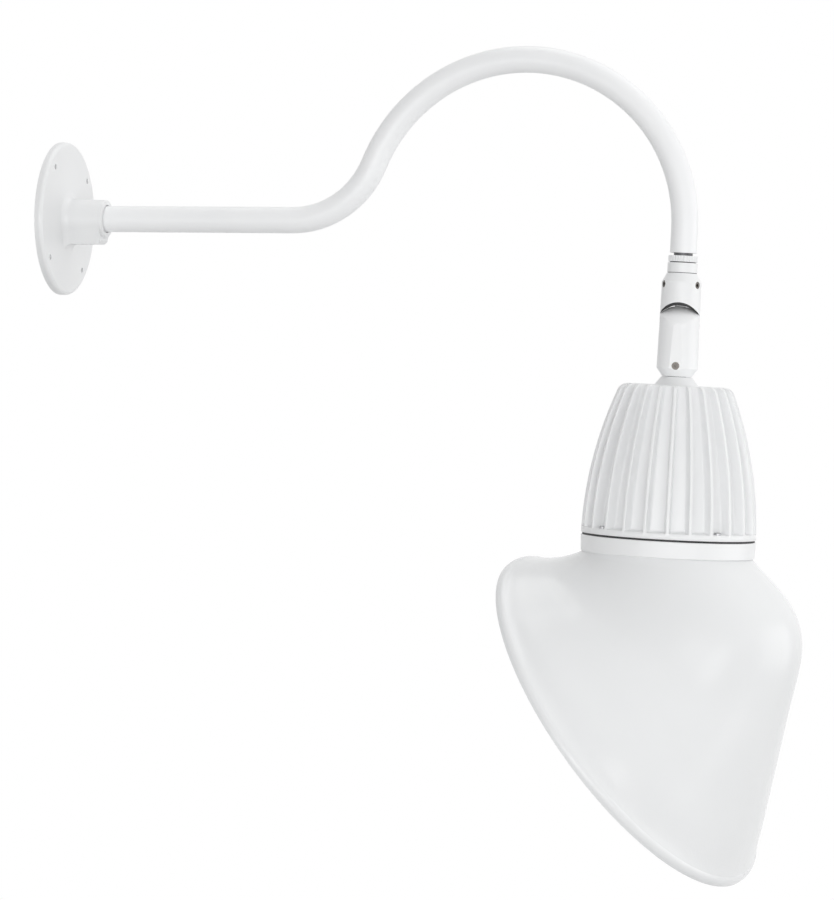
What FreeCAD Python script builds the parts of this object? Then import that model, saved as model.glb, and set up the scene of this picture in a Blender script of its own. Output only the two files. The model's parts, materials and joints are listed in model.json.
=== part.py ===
"""Gooseneck wall sconce: a cast wall plate with a hub, a bent pipe arm, a locking swivel,
a finned lamp head and an angled shade.

Millimetres.  The origin is the centre of the wall plate's back face, on the hub's axis.
+X points out of the wall and +Z points up.
The swivel and the head are drawn in frames of their own, which lean with the arm's end.
In the swivel's frame Z = 0 is the cut end of the arm.  In the barrel's and the head's
frames Z = 0 is the seam between the heat sink and the lens ring.
"""
import FreeCAD, Part
import math
import os

from FreeCAD import Placement, Rotation, Vector

os.makedirs("parts", exist_ok=True)

# ---- driving dimensions -------------------------------------------------------------------
X_AXIS = Vector(1, 0, 0)
Y_AXIS = Vector(0, 1, 0)
Z_AXIS = Vector(0, 0, 1)
ORIGIN = Vector(0, 0, 0)

# Wall plate and hub
PLATE_R = 78.2
PLATE_EDGE_ROUND = 3.8
PLATE_T = 8.2
PLATE_HOLE_R = 2.8
PLATE_HOLE_CIRCLE_R = 65.8
PLATE_HOLE_START = 39.0
PLATE_RECESS_R = 58.0
PLATE_RECESS_DEPTH = 3.2
GASKET_R_IN = 70.6
GASKET_R_OUT = 76.4
GASKET_T = 1.6
HUB_R = 19.3
HUB_FOOT_R = 20.4
HUB_LENGTH = 50.0
HUB_MOUTH_R = 14.3
HUB_MOUTH_DEPTH = 4.0
HUB_MOUTH_ROUND = 1.5
HUB_FILLET = 7.0
LUG_HALF_WIDTH = 10.0
LUG_BOTTOM = -26.0
LUG_FRONT = 46.5
LUG_BEVEL = 3.0
HUB_SCREW_X = 34.0
HUB_SCREW_R = 3.0
HUB_SCREW_SUNK = 1.2
GROUND_SCREW_YZ = (-34.0, 24.0)
GROUND_HOLE_DEPTH = 3.6

# Arm: three-quarter inch pipe
PIPE_R = 13.35
PIPE_BORE_R = 10.48
PIPE_START = 14.0
ARM_RUN = 249.2
RISE_BEND = (91.8, 67.8)
CROWN_BEND = (168.6, 109.7)
DROP_BEND = (160.8, 50.1)
DROP_RUN = 23.6
WIRE_R = 1.1
WIRE_SPACING = 3.2
WIRE_START = 2.0
INSERT_LENGTH = 22.0
FIT = 0.06

# Swivel, stations from the cut end of the arm
SWIVEL_FACING = 7.7
NIPPLE_R = 9.3
NIPPLE_BORE_R = 6.4
LOCK_RING_R = 14.5
LOCK_RING_TOP = -2.8
LOCK_RING_BOTTOM = -8.8
LOCK_RING_FLUTES = 30
FLUTE_R = 1.0
COLLAR_R = 14.9
COLLAR_TOP = -9.7
COLLAR_BOTTOM = -20.0
COLLAR_GAP = 0.6
COLLAR_BEVEL = 0.5
SEAL_WASHER_R = 12.8
UPPER_R = 19.9
UPPER_BOTTOM = -72.0
UPPER_SHOULDER = -28.8
SWIVEL_SCREW_Z = -31.5
SWIVEL_SCREW_R = 3.6
BALL_DROP = 72.0
ARCH_R = 22.8
DOME_HALF_WIDTH = 23.8
DOME_HEIGHT = 19.7
SEAL_R = 19.3
SEAL_LOW = -59.0
SEAL_GAP = 0.25
TONGUE_HALF = 5.5
TONGUE_FRONT = -3.2
TONGUE_BACK = 8.0
TONGUE_WEB_BACK = 3.0
EYE_R = 11.0
PIVOT_R = 4.0
PIVOT_FACE_X = 15.6
PIVOT_HEAD_R = 6.2
PIVOT_END_X = 19.4
PIVOT_SOCKET_R = 2.9
PIVOT_NUT_R = 6.9
SWIVEL_WIRE_ROOM_R = 8.4

# Barrel and head, stations from the seam
BALL_Z = 209.0
REST_TILT = 1.1
HEAD_FACING = -8.7
BARREL_R = 19.9
BARREL_LOW_R = 20.5
BARREL_CHAMFER_Z = 167.0
BARREL_BOTTOM = 159.0
BARREL_END_R = 14.6
BARREL_FLAT_Y = -19.55
BARREL_SCREW_Z = 169.5
BARREL_SCREW_R = 3.8
SLOT_HALF = 6.5
STEM_TOP = 186.0

# Heat sink
SINK_R = 86.7
SINK_ARC_R = 390.0
SINK_ARC_Z = -4.0
SINK_TOP = 150.0
SINK_LIP_BOTTOM = 1.0
SINK_LIP_TOP = 7.0
FIN_COUNT = 24
FIN_START = 6.0
FIN_T = 3.2
FIN_DEPTH_LOW = 11.0
FIN_DEPTH_MID = 12.0
FIN_DEPTH_TOP = 8.5
FIN_TOP_ROUND = 6.0
NECK_R = 22.0
NECK_END_R = 15.2
NECK_TOP = 158.6
CARRIER_R = 66.0
CARRIER_Z = (10.0, 14.0)
CHAMBER_LOW_R = 62.0
CHAMBER_TOP_R = 46.0
CHAMBER_TOP = 134.0
BOSS_R = 5.0
BOSS_TOP = 34.0
BOSS_CIRCLE_R = 58.0
CARRIER_SCREW_HOLE_R = 1.75

# Light engine on the carrier
BOARD_R = 36.0
PAD_T = 0.4
BOARD_T = 1.6
BOARD_SCREW_X = 29.5
BOARD_SCREW_HOLE_R = 1.3
EMITTER_HALF = 1.75
EMITTER_T = 0.9
EMITTER_RINGS = ((11.0, 6), (22.0, 12))
LEAD_X = 33.0
LEAD_Y = 3.0
LEAD_R = 0.8
LEAD_HOLE_R = 1.4
LEAD_LENGTH = 17.0
DRIVER_HALF_X = 31.2
DRIVER_HALF_Y = 19.0
DRIVER_LOW = 24.0
DRIVER_HIGH = 92.0
BRACKET_HALF_X = 33.0
BRACKET_HALF_Y = 20.0
BRACKET_HIGH = 46.0
BRACKET_T = 1.6

# Lens ring, lens and shade
RING_R = 86.8
RING_LOW_R = 86.0
RING_TOP = -1.0
RING_BOTTOM = -17.5
RING_BORE_R = 71.5
LENS_R = 76.0
RING_BEVEL = 0.8
LENS_SEAT = -10.2
LENS_Z = (-8.6, -4.6)
RING_SCREW_CIRCLE_R = 80.2
RING_SCREW_START = -31.5
RING_SCREW_HOLE_R = 2.1
SHADE_SCREW_CIRCLE_R = 78.0
SHADE_SCREW_START = 15.0
SHEET_T = 1.5
NECK_SHADE_R = 84.0
RIM_CENTRE = (-35.3, -185.6)
RIM_R = 194.7
RIM_TILT = 51.8
CONE_HALF_ANGLE = 38.4
SHOULDER_END_Z = -130.5
SHOULDER_START_ANGLE = 43.9
SHOULDER_PULLS = (54.0, 61.0)
UPPER_BLEND_X = -142.0
UPPER_START_ANGLE = 24.0
UPPER_PULLS = (22.0, 22.0)
SECTION_COUNT = 11
SHOULDER_SECTIONS = 5
SHOULDER_FLARE = 1.55
SKIRT = 10.0
SKIRT_STEP = 4.4
SKIRT_STRAIGHT = 3.2
SKIRT_CROWN = (1.2, 7.0)


# ---- helpers ------------------------------------------------------------------------------
def save(name, shape, frame=Placement()):
    """Write one piece in the object's frame."""
    placed = shape.copy()
    placed.Placement = frame.multiply(placed.Placement)
    if placed.ShapeType == "Compound" and len(placed.Solids) == 1:
        placed = placed.Solids[0]
    placed.exportStep(f"parts/{name}.step")
    state = "ok" if placed.isValid() else "NOT VALID"
    print(f"{name:20s} solids {len(placed.Solids):2d}  volume {placed.Volume:12.1f}  {state}")


def lathe(points):
    """Turn a closed outline of (radius, height) points about Z."""
    corners = [Vector(r, 0, z) for r, z in points]
    outline = Part.makePolygon(corners + corners[:1])
    return Part.Face(outline).revolve(ORIGIN, Z_AXIS, 360)


def tube(outer, inner, low, high):
    """A straight ring about Z."""
    ring = Part.makeCylinder(outer, high - low, Vector(0, 0, low))
    if inner:
        ring = ring.cut(Part.makeCylinder(inner, high - low + 2, Vector(0, 0, low - 1)))
    return ring


def rod(radius, start, direction, length):
    return Part.makeCylinder(radius, length, start, direction)


def box(low, high):
    size = Vector(*high) - Vector(*low)
    return Part.makeBox(size.x, size.y, size.z, Vector(*low))


def turned(shape, degrees):
    copy = shape.copy()
    copy.rotate(ORIGIN, Z_AXIS, degrees)
    return copy


def around(shape, count, start=0.0):
    """Copies of a shape at even steps about Z."""
    return [turned(shape, start + index * 360.0 / count) for index in range(count)]


def group(solids):
    return Part.makeCompound(solids)


def hexagon(corner_r, low, high):
    """A six-sided prism along X."""
    angles = [math.radians(60 * k) for k in range(7)]
    corners = [Vector(low, corner_r * math.cos(a), corner_r * math.sin(a)) for a in angles]
    return Part.Face(Part.makePolygon(corners)).extrude(Vector(high - low, 0, 0))


def set_screw(radius, inner, outer, height):
    """A socket set screw that lies along -Y, from its point at inner to its face at outer."""
    socket_share = 0.52
    socket_depth = 2.2
    body = rod(radius, Vector(inner, 0, 0), X_AXIS, outer - inner)
    screw = body.cut(hexagon(radius * socket_share, outer - socket_depth, outer + 1))
    return moved(turned(screw, -90), 0, 0, height)


def pan_screw(head_r, head_t, shank_r, length):
    """A cross-recessed screw that points down -Z, with the underside of its head at Z = 0."""
    head_round = 0.45 * head_t
    recess_reach = 0.55 * head_r
    recess_half = 0.4
    recess_low = head_t - 0.9
    head = Part.makeCylinder(head_r, head_t)
    head = head.makeFillet(head_round, [head.Edges[0]])
    shank = Part.makeCylinder(shank_r, length + 0.5, Vector(0, 0, -length))
    slot = box((-recess_reach, -recess_half, recess_low), (recess_reach, recess_half, head_t + 1))
    return head.fuse(shank).cut(slot).cut(turned(slot, 90)).removeSplitter()


def moved(shape, x, y, z):
    copy = shape.copy()
    copy.translate(Vector(x, y, z))
    return copy


# ---- the arm's line -----------------------------------------------------------------------
def bend(point, heading, radius, degrees, up):
    """An arc in the XZ plane from point, and where it ends and heads."""
    side = 1 if up else -1
    normal = Vector(-math.sin(heading) * side, 0, math.cos(heading) * side)
    centre = point + normal * radius
    arm = point - centre
    half = Rotation(Y_AXIS, -side * degrees / 2).multVec(arm)
    full = Rotation(Y_AXIS, -side * degrees).multVec(arm)
    edge = Part.Arc(point, centre + half, centre + full).toShape()
    return edge, centre + full, heading + side * math.radians(degrees)


def run(point, heading, length):
    end = point + Vector(math.cos(heading), 0, math.sin(heading)) * length
    return Part.LineSegment(point, end).toShape(), end


def arm_line(start_x, past_end=0.0):
    """The arm's centreline from start_x to its cut end, or a little past it."""
    edges = []
    edge, point = run(Vector(start_x, 0, 0), 0.0, ARM_RUN - start_x)
    edges.append(edge)
    heading = 0.0
    for (radius, degrees), up in ((RISE_BEND, True), (CROWN_BEND, False), (DROP_BEND, False)):
        edge, point, heading = bend(point, heading, radius, degrees, up)
        edges.append(edge)
    edge, point = run(point, heading, DROP_RUN + past_end)
    edges.append(edge)
    return Part.Wire(edges), point, math.degrees(heading)


def sweep(line, radius, start_x, y=0.0):
    """A round section carried along a line that starts along +X."""
    section = Part.Wire(Part.makeCircle(radius, Vector(start_x, 0, 0), X_AXIS))
    solid = line.makePipeShell([section], True, False)
    solid.translate(Vector(0, y, 0))
    return solid


ARM_LINE, ARM_END, ARM_END_HEADING = arm_line(PIPE_START)
END_TILT = -90.0 - ARM_END_HEADING
SWIVEL_FRAME = Placement(ARM_END, Rotation(Y_AXIS, END_TILT) * Rotation(Z_AXIS, SWIVEL_FACING))
BALL_FRAME = SWIVEL_FRAME * Placement(Vector(0, 0, -BALL_DROP), Rotation(X_AXIS, REST_TILT))
BARREL_FRAME = BALL_FRAME * Placement(Vector(0, 0, -BALL_Z), Rotation())
HEAD_FRAME = BARREL_FRAME * Placement(ORIGIN, Rotation(Z_AXIS, HEAD_FACING - SWIVEL_FACING))
WALL_FRAME = Placement(ORIGIN, Rotation(Y_AXIS, 90))


# ---- wall plate ---------------------------------------------------------------------------
def plate_spots():
    """The screw holes' places in the wall's plane."""
    for k in range(4):
        angle = math.radians(PLATE_HOLE_START + 90 * k)
        yield PLATE_HOLE_CIRCLE_R * math.cos(angle), PLATE_HOLE_CIRCLE_R * math.sin(angle)


def ground_screw_place():
    return Vector(PLATE_RECESS_DEPTH, *GROUND_SCREW_YZ)


def hub_lug():
    """The wedge under the hub that carries its set screw; its sides run into the hub's."""
    corner_reach = math.hypot(LUG_HALF_WIDTH, LUG_BOTTOM)
    side = math.atan2(LUG_BOTTOM, LUG_HALF_WIDTH) + math.acos(HUB_R / corner_reach)
    touch_y = HUB_R * math.cos(side)
    touch_z = HUB_R * math.sin(side)
    outline = [
        Vector(0, touch_y, touch_z), Vector(0, LUG_HALF_WIDTH, LUG_BOTTOM),
        Vector(0, -LUG_HALF_WIDTH, LUG_BOTTOM), Vector(0, -touch_y, touch_z),
        Vector(0, touch_y, touch_z),
    ]
    lug = Part.Face(Part.makePolygon(outline)).extrude(Vector(LUG_FRONT, 0, 0))
    front = [
        edge for edge in lug.Edges
        if edge.BoundBox.XMin > LUG_FRONT - 0.01 and edge.BoundBox.ZMax < LUG_BOTTOM + 0.01
    ]
    return lug.makeChamfer(LUG_BEVEL, front)


def wall_plate():
    """The cast plate, with its hub and the lug that carries the hub's set screw."""
    disc = Part.makeCylinder(PLATE_R, PLATE_T, ORIGIN, X_AXIS)
    rim = [e for e in disc.Edges if abs(e.BoundBox.XMin - PLATE_T) < 0.01]
    disc = disc.makeFillet(PLATE_EDGE_ROUND, rim)
    hub = Part.makeCone(HUB_FOOT_R, HUB_R, HUB_LENGTH, ORIGIN, X_AXIS)
    plate = disc.fuse([hub, hub_lug()]).removeSplitter()
    foot = [
        edge for edge in plate.Edges
        if abs(edge.BoundBox.XMin - PLATE_T) < 0.01 and abs(edge.BoundBox.XMax - PLATE_T) < 0.01
        and edge.BoundBox.DiagonalLength < 4 * HUB_R
    ]
    plate = plate.makeFillet(HUB_FILLET, foot)
    mouth = [
        edge for edge in plate.Edges
        if abs(edge.BoundBox.XMin - HUB_LENGTH) < 0.01 and edge.BoundBox.DiagonalLength > HUB_R
    ]
    plate = plate.makeFillet(HUB_MOUTH_ROUND, mouth)
    cuts = [
        rod(PLATE_RECESS_R, Vector(-1, 0, 0), X_AXIS, PLATE_RECESS_DEPTH + 1),
        rod(PIPE_BORE_R, Vector(-1, 0, 0), X_AXIS, HUB_LENGTH + 2),
        rod(PIPE_R + FIT, Vector(PIPE_START, 0, 0), X_AXIS, HUB_LENGTH),
        rod(HUB_MOUTH_R, Vector(HUB_LENGTH - HUB_MOUTH_DEPTH, 0, 0), X_AXIS, HUB_LENGTH),
        rod(HUB_SCREW_R + FIT, Vector(HUB_SCREW_X, 0, LUG_BOTTOM - 1), Z_AXIS, 1 - LUG_BOTTOM),
        rod(2.0, ground_screw_place(), X_AXIS, GROUND_HOLE_DEPTH),
    ]
    groove = tube(GASKET_R_OUT, GASKET_R_IN, -1, GASKET_T)
    groove.Placement = WALL_FRAME
    cuts.append(groove)
    for y, z in plate_spots():
        cuts.append(rod(PLATE_HOLE_R, Vector(-1, y, z), X_AXIS, PLATE_T + 2))
    return plate.cut(cuts)


def wall_pieces():
    save("wall_plate", wall_plate())
    save("wall_gasket", tube(GASKET_R_OUT, GASKET_R_IN, 0, GASKET_T), WALL_FRAME)
    screw = pan_screw(3.2, 2.4, 1.95, 3.4)
    screw.rotate(ORIGIN, Y_AXIS, -90)
    screw.translate(ground_screw_place())
    save("ground_screw", screw)
    lug_screw = set_screw(HUB_SCREW_R, PIPE_R + 0.02, -LUG_BOTTOM - HUB_SCREW_SUNK, 0)
    lug_screw.rotate(ORIGIN, X_AXIS, 90)
    lug_screw.translate(Vector(HUB_SCREW_X, 0, 0))
    save("hub_set_screw", lug_screw)


# ---- arm ----------------------------------------------------------------------------------
def arm_pieces():
    outer = sweep(ARM_LINE, PIPE_R, PIPE_START)
    inner = sweep(ARM_LINE, PIPE_BORE_R, PIPE_START)
    save("arm_tube", outer.cut(inner))
    insert = tube(PIPE_BORE_R - 0.05, NIPPLE_R + 0.02, 0.3, INSERT_LENGTH)
    save("arm_end_insert", insert, SWIVEL_FRAME)
    nipple = tube(NIPPLE_R, NIPPLE_BORE_R, UPPER_SHOULDER - 6, INSERT_LENGTH - 2)
    save("arm_nipple", nipple, SWIVEL_FRAME)
    for index, name in enumerate(("line_wire", "neutral_wire", "ground_wire")):
        wire_line = arm_line(WIRE_START, -UPPER_SHOULDER + 3)[0]
        save(name, sweep(wire_line, WIRE_R, WIRE_START, (index - 1) * WIRE_SPACING))


# ---- swivel -------------------------------------------------------------------------------
def lock_ring():
    """The knurled ring that is turned by hand on the threaded nipple."""
    ring = tube(LOCK_RING_R, NIPPLE_R + FIT, LOCK_RING_BOTTOM, LOCK_RING_TOP)
    height = LOCK_RING_TOP - LOCK_RING_BOTTOM
    flute = rod(FLUTE_R, Vector(LOCK_RING_R + 0.1, 0, LOCK_RING_BOTTOM - 1), Z_AXIS, height + 2)
    return ring.cut(around(flute, LOCK_RING_FLUTES))


def arch_cut():
    """The arched way under the swivel that the barrel swings up into."""
    return rod(ARCH_R, Vector(0, -2 * UPPER_R, -BALL_DROP), Y_AXIS, 4 * UPPER_R)


def dome_outline():
    """The dome's outline as an ellipse, wider than it is high, in the XY plane."""
    return Part.Ellipse(ORIGIN, DOME_HALF_WIDTH, DOME_HEIGHT)


def arch_seal():
    """The black wiper that fills the front of the arch above the barrel's dome."""
    outline = dome_outline()
    outline.MajorRadius += SEAL_GAP
    outline.MinorRadius += SEAL_GAP
    face = Part.Face(Part.Wire(outline.toShape()))
    face.rotate(ORIGIN, X_AXIS, 90)
    way = face.extrude(Vector(0, -4 * UPPER_R, 0))
    way.translate(Vector(0, 2 * UPPER_R, -BALL_DROP))
    wire_room = rod(NIPPLE_R + 1.0, Vector(0, 0, -BALL_DROP), Z_AXIS, BALL_DROP)
    back = box((-UPPER_R, 0, -BALL_DROP), (UPPER_R, UPPER_R, 0))
    crown = arch_cut().common(tube(SEAL_R, 0, SEAL_LOW, UPPER_SHOULDER))
    return crown.cut([way, wire_room, back])


def swivel_upper():
    """The swivel's upper casting: a turned body with an arch, and the tongue inside it."""
    body = lathe([
        (0, COLLAR_BOTTOM), (COLLAR_R, COLLAR_BOTTOM), (UPPER_R - 0.3, UPPER_SHOULDER),
        (UPPER_R, UPPER_BOTTOM), (0, UPPER_BOTTOM),
    ])
    body = body.cut(arch_cut())
    tongue_top = UPPER_SHOULDER - 12.0
    body = body.cut(rod(SWIVEL_WIRE_ROOM_R, Vector(0, 0, -BALL_DROP), Z_AXIS, BALL_DROP))
    body = body.cut(rod(NIPPLE_R + FIT, Vector(0, 0, UPPER_SHOULDER - 7), Z_AXIS, 40))
    tongue = box((-TONGUE_HALF, TONGUE_FRONT, -BALL_DROP), (TONGUE_HALF, TONGUE_BACK, tongue_top))
    eye = rod(EYE_R, Vector(-TONGUE_HALF, 0, -BALL_DROP), X_AXIS, 2 * TONGUE_HALF)
    wire_notch = box((-TONGUE_HALF - 1, TONGUE_WEB_BACK, -BALL_DROP + EYE_R - 1),
                     (TONGUE_HALF + 1, TONGUE_BACK + 0.5, tongue_top + 1))
    root = box((-NIPPLE_R, TONGUE_FRONT, ARCH_R - BALL_DROP + 1),
               (NIPPLE_R, TONGUE_WEB_BACK, tongue_top))
    tongue = tongue.fuse(eye).cut(wire_notch).fuse(root)
    body = body.fuse(tongue).removeSplitter()
    pivot_hole = rod(PIVOT_R + FIT, Vector(-30, 0, -BALL_DROP), X_AXIS, 60)
    screw_hole = rod(SWIVEL_SCREW_R + FIT, Vector(0, 0, SWIVEL_SCREW_Z), Vector(0, -1, 0), 40)
    return body.cut([pivot_hole] + around(screw_hole, 3, 60))


def swivel_pieces():
    save("lock_ring", lock_ring(), SWIVEL_FRAME)
    bore_r = NIPPLE_R + FIT
    washer = tube(SEAL_WASHER_R, bore_r, COLLAR_TOP + 0.1, LOCK_RING_BOTTOM - 0.1)
    save("seal_washer", washer, SWIVEL_FRAME)
    collar_low = COLLAR_BOTTOM + COLLAR_GAP
    collar = lathe([
        (bore_r, collar_low), (COLLAR_R, collar_low), (COLLAR_R, COLLAR_TOP - COLLAR_BEVEL),
        (COLLAR_R - COLLAR_BEVEL, COLLAR_TOP), (bore_r, COLLAR_TOP),
    ])
    save("swivel_collar", collar, SWIVEL_FRAME)
    gasket = tube(COLLAR_R - COLLAR_BEVEL, bore_r, COLLAR_BOTTOM + 0.02, collar_low - 0.02)
    save("collar_gasket", gasket, SWIVEL_FRAME)
    save("swivel_upper", swivel_upper(), SWIVEL_FRAME)
    save("arch_seal", arch_seal(), SWIVEL_FRAME)
    screw = set_screw(SWIVEL_SCREW_R, NIPPLE_R + 0.1, UPPER_R - 0.9, SWIVEL_SCREW_Z)
    save("swivel_set_screws", group(around(screw, 3, 60)), SWIVEL_FRAME)


def tongue_rooms():
    """The room for the tongue's eye, and the slot it swings through from top to back."""
    eye_room = EYE_R + 0.6
    front = TONGUE_FRONT - 1.2
    return [
        rod(eye_room, Vector(-SLOT_HALF, 0, BALL_Z), X_AXIS, 2 * SLOT_HALF),
        box((-SLOT_HALF, front, BALL_Z), (SLOT_HALF, 40, BALL_Z + 40)),
        box((-SLOT_HALF, 0, BALL_Z - eye_room), (SLOT_HALF, 40, BALL_Z + 1)),
    ]


def barrel_dome():
    """The dome: turned about the knuckle's axis, so that it clears the arch as it swings."""
    arc = Part.Arc(dome_outline(), 0, math.pi).toShape()
    base = Part.makeLine(Vector(-DOME_HALF_WIDTH, 0, 0), Vector(DOME_HALF_WIDTH, 0, 0))
    turned_body = Part.Face(Part.Wire([arc, base])).revolve(ORIGIN, X_AXIS, 360)
    core = rod(BARREL_R, Vector(0, 0, -0.01), Z_AXIS, 2 * DOME_HEIGHT)
    return moved(core.common(turned_body), 0, 0, BALL_Z)


def swivel_barrel():
    """The domed barrel: it swings on the tongue, through a slot from its top to its back."""
    body = lathe([
        (0, BALL_Z), (BARREL_R, BALL_Z), (BARREL_LOW_R, BARREL_CHAMFER_Z),
        (BARREL_END_R, BARREL_BOTTOM), (0, BARREL_BOTTOM),
    ])
    flat = box((-40, -40, BARREL_CHAMFER_Z - 3.0), (40, BARREL_FLAT_Y, BALL_Z + 30))
    body = body.fuse(barrel_dome()).removeSplitter().cut(flat)
    wire_room = rod(SWIVEL_WIRE_ROOM_R, Vector(0, 0, STEM_TOP - 2), Z_AXIS, BALL_Z - STEM_TOP)
    stem_hole = rod(NIPPLE_R + FIT, Vector(0, 0, BARREL_BOTTOM - 1), Z_AXIS,
                    STEM_TOP + 1 - BARREL_BOTTOM)
    pivot_hole = rod(PIVOT_R + 0.01, Vector(-30, 0, BALL_Z), X_AXIS, 60)
    head_room = rod(PIVOT_HEAD_R + 0.2, Vector(PIVOT_FACE_X, 0, BALL_Z), X_AXIS, 10)
    nut_room = rod(PIVOT_NUT_R + 0.2, Vector(-PIVOT_FACE_X, 0, BALL_Z), Vector(-1, 0, 0), 10)
    screw_hole = rod(BARREL_SCREW_R + FIT, Vector(0, 0, BARREL_SCREW_Z), Vector(0, -1, 0), 40)
    rooms = [wire_room, stem_hole, pivot_hole, head_room, nut_room, screw_hole]
    return body.cut(rooms + tongue_rooms())


def pivot_pieces():
    """The cross screw and nut of the knuckle, and the washers that hold its tilt."""
    face = PIVOT_FACE_X + 0.1
    skin = rod(BARREL_R - 0.1, Vector(0, 0, -BARREL_R), Z_AXIS, 2 * BARREL_R)
    shank = rod(PIVOT_R, Vector(-PIVOT_END_X, 0, 0), X_AXIS, PIVOT_END_X + face + 0.3)
    head = rod(PIVOT_HEAD_R, Vector(face, 0, 0), X_AXIS, BARREL_R).common(skin)
    socket = hexagon(PIVOT_SOCKET_R, face + 1.1, BARREL_R)
    screw = head.fuse(shank).cut(socket).removeSplitter()
    save("pivot_screw", moved(screw, 0, 0, BALL_Z), BARREL_FRAME)
    nut = hexagon(PIVOT_NUT_R, -BARREL_R, -face).common(skin)
    nut = nut.cut(rod(PIVOT_R + 0.01, Vector(-30, 0, 0), X_AXIS, 60))
    save("pivot_nut", moved(nut, 0, 0, BALL_Z), BARREL_FRAME)
    gap = 0.05
    washer_t = SLOT_HALF - TONGUE_HALF - 2 * gap
    ring = rod(EYE_R - 0.8, ORIGIN, X_AXIS, washer_t)
    ring = ring.cut(rod(PIVOT_R + FIT, Vector(-1, 0, 0), X_AXIS, 4))
    pair = [moved(ring, x, 0, BALL_Z) for x in (TONGUE_HALF + gap, -SLOT_HALF + gap)]
    save("friction_washers", group(pair), BARREL_FRAME)


def barrel_pieces():
    save("swivel_barrel", swivel_barrel(), BARREL_FRAME)
    pivot_pieces()
    screw = set_screw(BARREL_SCREW_R, NIPPLE_R + 0.1, -BARREL_FLAT_Y - 0.3, BARREL_SCREW_Z)
    save("barrel_set_screw", screw, BARREL_FRAME)


# ---- heat sink ----------------------------------------------------------------------------
def fin_radius(z):
    """The fins' outer radius: a long arc that closes towards the top."""
    rise = z - SINK_ARC_Z
    return SINK_R - SINK_ARC_R + math.sqrt(SINK_ARC_R ** 2 - rise ** 2)


def fin_blade():
    """One fin, from inside the core out to the long arc, with a rounded top corner."""
    top_r = fin_radius(SINK_TOP)
    low = Vector(fin_radius(SINK_LIP_BOTTOM + 2), 0, SINK_LIP_BOTTOM + 2)
    mid_z = 0.5 * SINK_TOP
    arc_end_z = SINK_TOP - FIN_TOP_ROUND
    arc_end = Vector(fin_radius(arc_end_z), 0, arc_end_z)
    corner_in = Vector(top_r - FIN_TOP_ROUND, 0, SINK_TOP)
    corner_mid = Vector(top_r - 0.2 * FIN_TOP_ROUND, 0, SINK_TOP - 0.3 * FIN_TOP_ROUND)
    root_r = 40.0
    root_low_r = 60.0
    edges = [
        Part.Arc(low, Vector(fin_radius(mid_z), 0, mid_z), arc_end).toShape(),
        Part.Arc(arc_end, corner_mid, corner_in).toShape(),
        Part.LineSegment(corner_in, Vector(root_r, 0, SINK_TOP)).toShape(),
        Part.LineSegment(Vector(root_r, 0, SINK_TOP), Vector(root_low_r, 0, low.z)).toShape(),
        Part.LineSegment(Vector(root_low_r, 0, low.z), low).toShape(),
    ]
    blade = Part.Face(Part.Wire(edges)).extrude(Vector(0, FIN_T, 0))
    return moved(blade, 0, -FIN_T / 2, 0)


def sink_core():
    """The casting without its fins: a lip, a tapering wall and the neck on top."""
    def root(z, depth):
        return Vector(fin_radius(z) - depth, 0, z)
    low = root(SINK_LIP_TOP, FIN_DEPTH_LOW)
    mid = root(0.5 * SINK_TOP, FIN_DEPTH_MID)
    top = root(SINK_TOP, FIN_DEPTH_TOP)
    corners = [
        top, Vector(NECK_R, 0, SINK_TOP), Vector(NECK_END_R, 0, NECK_TOP),
        Vector(0, 0, NECK_TOP), Vector(0, 0, SINK_LIP_BOTTOM),
        Vector(SINK_R, 0, SINK_LIP_BOTTOM), Vector(SINK_R, 0, SINK_LIP_TOP), low,
    ]
    edges = [Part.LineSegment(a, b).toShape() for a, b in zip(corners, corners[1:])]
    edges.append(Part.Arc(low, mid, top).toShape())
    return Part.Face(Part.Wire(Part.__sortEdges__(edges))).revolve(ORIGIN, Z_AXIS, 360)


def ring_screw_spots():
    for k in range(4):
        angle = math.radians(RING_SCREW_START + 90 * k)
        yield RING_SCREW_CIRCLE_R * math.cos(angle), RING_SCREW_CIRCLE_R * math.sin(angle)


def heat_sink():
    blades = around(fin_blade(), FIN_COUNT, FIN_START)
    sink = sink_core().fuse(blades).removeSplitter()
    floor_z = CARRIER_Z[1]
    chamber = Part.makeCone(CHAMBER_LOW_R, CHAMBER_TOP_R, CHAMBER_TOP - floor_z,
                            Vector(0, 0, floor_z), Z_AXIS)
    bosses = [
        rod(BOSS_R, Vector(x, y, floor_z), Z_AXIS, BOSS_TOP - floor_z)
        for x, y in carrier_screw_spots()
    ]
    cuts = [
        rod(CARRIER_R + 0.4, Vector(0, 0, 0), Z_AXIS, floor_z),
        chamber.cut(bosses),
        rod(NIPPLE_R + 0.01, Vector(0, 0, CHAMBER_TOP - 1), Z_AXIS, 40),
    ]
    for x, y in ring_screw_spots():
        cuts.append(rod(RING_SCREW_HOLE_R, Vector(x, y, 0), Z_AXIS, SINK_LIP_TOP + 1))
    for x, y in carrier_screw_spots():
        cuts.append(rod(CARRIER_SCREW_HOLE_R, Vector(x, y, floor_z - 1), Z_AXIS, 11))
    return sink.cut(cuts)


def carrier_screw_spots():
    for k in range(3):
        angle = math.radians(30 + 120 * k)
        yield BOSS_CIRCLE_R * math.cos(angle), BOSS_CIRCLE_R * math.sin(angle)


# ---- inside the head ----------------------------------------------------------------------
def led_spots():
    """Emitters on two rings and one at the centre."""
    yield 0.0, 0.0
    for circle_r, count in EMITTER_RINGS:
        for k in range(count):
            angle = 2 * math.pi * k / count
            yield circle_r * math.cos(angle), circle_r * math.sin(angle)


def screws_at(spots, screw, z, upside_down=True):
    solids = []
    for x, y in spots:
        copy = screw.copy()
        if upside_down:
            copy.rotate(ORIGIN, X_AXIS, 180)
        solids.append(moved(copy, x, y, z))
    return group(solids)


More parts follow.
